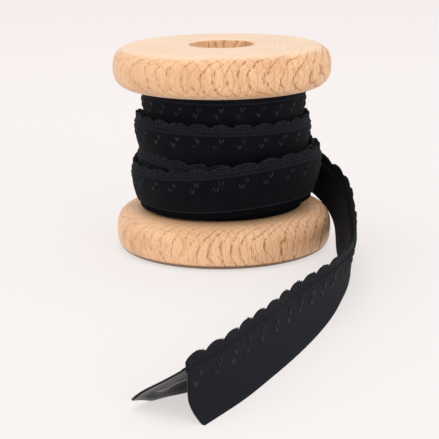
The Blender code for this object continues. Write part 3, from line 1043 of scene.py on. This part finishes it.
def leaf_spots(stretch):
    """Where the leaves lie on one stretch of the strip, each a little off its place."""
    chance = np.random.default_rng(LEAF_SEED)
    spots = []
    for k in range(stretch.first, stretch.last):
        for leaf in LEAVES:
            off = chance.normal(0.0, 1.0, 4)
            at = stretch.to_place(k + leaf.phase + 0.012 * off[0])
            across = FOLD - leaf.below + 0.07 * off[1]
            out, along, up = directions(stretch.surface, at, across, stretch.step)
            angle = math.radians(leaf.lean + 5.0 * off[2])
            share = 0.95 + 0.09 * min(max(off[3], -2.0), 1.5)
            lean = up * math.cos(angle) + along * math.sin(angle)
            spots.append((stretch.surface(at, across, 0.02), out, lean, share))
    return spots


first_repeat, last_repeat = (int(turn / TURN * SCALLOPS_ROUND) for turn in (FIRST_TURN, LAST_TURN))
roll_stretch = Stretch(on_lap, first_repeat, last_repeat, roll_place, 1.0)
end_stretch = Stretch(on_end, 0, END_SCALLOPS, end_place, 0.3)
end_leaf_size = [part * END_LEAF_SHARE for part in LEAF_SIZE]
roll_leaves = sew("roll_leaves", leaf_spots(roll_stretch), LEAF_SIZE, leaf_thread)
end_leaves = sew("end_leaves", leaf_spots(end_stretch), end_leaf_size, lit_end_leaf_thread)

# %% [markdown]
# ## Edge stitches
# The scallops are oversewn: short threads stand side by side across the edge, close together.  The
# same tree sews them.  They fan out round each scallop and differ a little in length, which gives
# the edge its slightly ragged line.

# %% Edge stitches
STITCHES_PER_SCALLOP = 9
STITCH_SIZE = (1.0, 0.36, 0.36)
STITCH_SEED = 5


def edge_spots(stretch, lift, below_edge):
    """Where the edge's stitches lie on one stretch of the strip, some short and some long."""
    chance = np.random.default_rng(STITCH_SEED)
    spots = []
    for k in range(stretch.first * STITCHES_PER_SCALLOP, stretch.last * STITCHES_PER_SCALLOP):
        part = (k + 0.5) / STITCHES_PER_SCALLOP
        across = edge_height(part) - below_edge - chance.uniform(0.0, 0.12)
        at = stretch.to_place(part)
        out, along, up = directions(stretch.surface, at, across, stretch.step)
        fan = 0.5 * math.cos(math.pi * (part % 1.0)) + chance.normal(0.0, 0.22)
        share = chance.uniform(0.62, 1.08)
        spots.append((stretch.surface(at, across, lift), out, up - along * fan, share))
    return spots


roll_edge = sew("roll_edge_stitches", edge_spots(roll_stretch, 0.05, 0.28), STITCH_SIZE, edge_thread)
end_edge = sew("end_edge_stitches", edge_spots(end_stretch, -0.35, 0.12), STITCH_SIZE, end_edge_thread)

# %% [markdown]
# ## Fitting the pieces to the frame
# Each cloth piece stands for the solid it covers and rides on the one body.

# %% Ride and replace
roll_pieces = [wound_laps, roll_body, roll_leaves, roll_edge]
end_pieces = [loose_strip, loose_lace, end_leaves, end_edge]
for piece in roll_pieces:
    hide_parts("wound_binding")
for piece in end_pieces:
    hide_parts("loose_end")
for piece in roll_pieces + end_pieces:
    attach(piece, "root")

# %% [markdown]
# ## Floor and light
# The photograph is a bright studio shot on a pale sweep, with hardly any shadow.  A big soft
# light above, three soft fills and a pale surround give the same even light.  More lamps would
# burn out the wood before the shadows were pale enough, so the floor also glows a little.

# %% Stage
# The floor's colour shifts from near to far: a painted gradient that evens out the falling light towards the
# back.
FLOOR_NEAR = (0.828, 0.792, 0.780, 1.0)
FLOOR_FAR = (0.850, 0.790, 0.780, 1.0)
FLOOR_GLOW = 0.65
GLOW_STRENGTH = 1.14 * FLOOR_GLOW
FLOOR_REACH = 3.0
SURROUND = (1.0, 0.975, 0.965, 1.0)
SURROUND_STRENGTH = 0.80
LIGHTS_AIM = Vector((0.0, 0.0, 0.02))
Lamp = namedtuple("Lamp", "name spot size power")
LAMPS = [
    Lamp("top light", (-0.10, 0.10, 0.80), 0.7, 1.9),
    Lamp("front fill", (-0.15, -0.80, 0.45), 0.6, 0.75),
    Lamp("right fill", (0.42, -0.60, 0.32), 0.3, 1.25),
    Lamp("left fill", (-0.60, -0.30, 0.22), 0.3, 0.45),
]


def build_floor():
    """A wide pale floor."""
    corners = [(x * FLOOR_REACH, y * FLOOR_REACH, 0.0) for x, y in ((-1, -1), (1, -1), (1, 1), (-1, 1))]
    mesh = bpy.data.meshes.new("floor")
    mesh.from_pydata(corners, [], [(0, 1, 2, 3)])
    material, tree, shader = new_material("pale paper", 0.9)
    where = node(tree, "ShaderNodeTexCoord").outputs["Object"]
    depth = node(tree, "ShaderNodeSeparateXYZ", None, Vector=where).outputs["Y"]
    # Painted light: the floor's colour blends from near to far.
    paper = mixed(tree, between(tree, depth, 0.05, 0.9), FLOOR_NEAR, FLOOR_FAR)
    lit = vector_maths(tree, "SCALE", i0=paper, Scale=1 - FLOOR_GLOW)[0]
    tree.links.new(lit, shader.inputs["Base Color"])
    tree.links.new(paper, shader.inputs["Emission Color"])
    shader.inputs["Emission Strength"].default_value = GLOW_STRENGTH
    shader.inputs["Specular IOR Level"].default_value = 0.1
    mesh.materials.append(material)
    floor = new_object("floor", mesh)


def soft_light(lamp):
    """A square studio light that faces the part."""
    data = bpy.data.lights.new(lamp.name, "AREA")
    data.size = lamp.size
    data.energy = lamp.power
    light = new_object(lamp.name, data)
    light.location = lamp.spot
    light.rotation_euler = (LIGHTS_AIM - light.location).to_track_quat("-Z", "Y").to_euler()


def light_room():
    """The surround and the lamps."""
    world = bpy.data.worlds.new("studio")
    world.use_nodes = True
    background = world.node_tree.nodes["Background"]
    background.inputs["Color"].default_value = SURROUND
    background.inputs["Strength"].default_value = SURROUND_STRENGTH
    bpy.context.scene.world = world
    for lamp in LAMPS:
        soft_light(lamp)


build_floor()
light_room()
bpy.context.scene.view_settings.view_transform = "Standard"
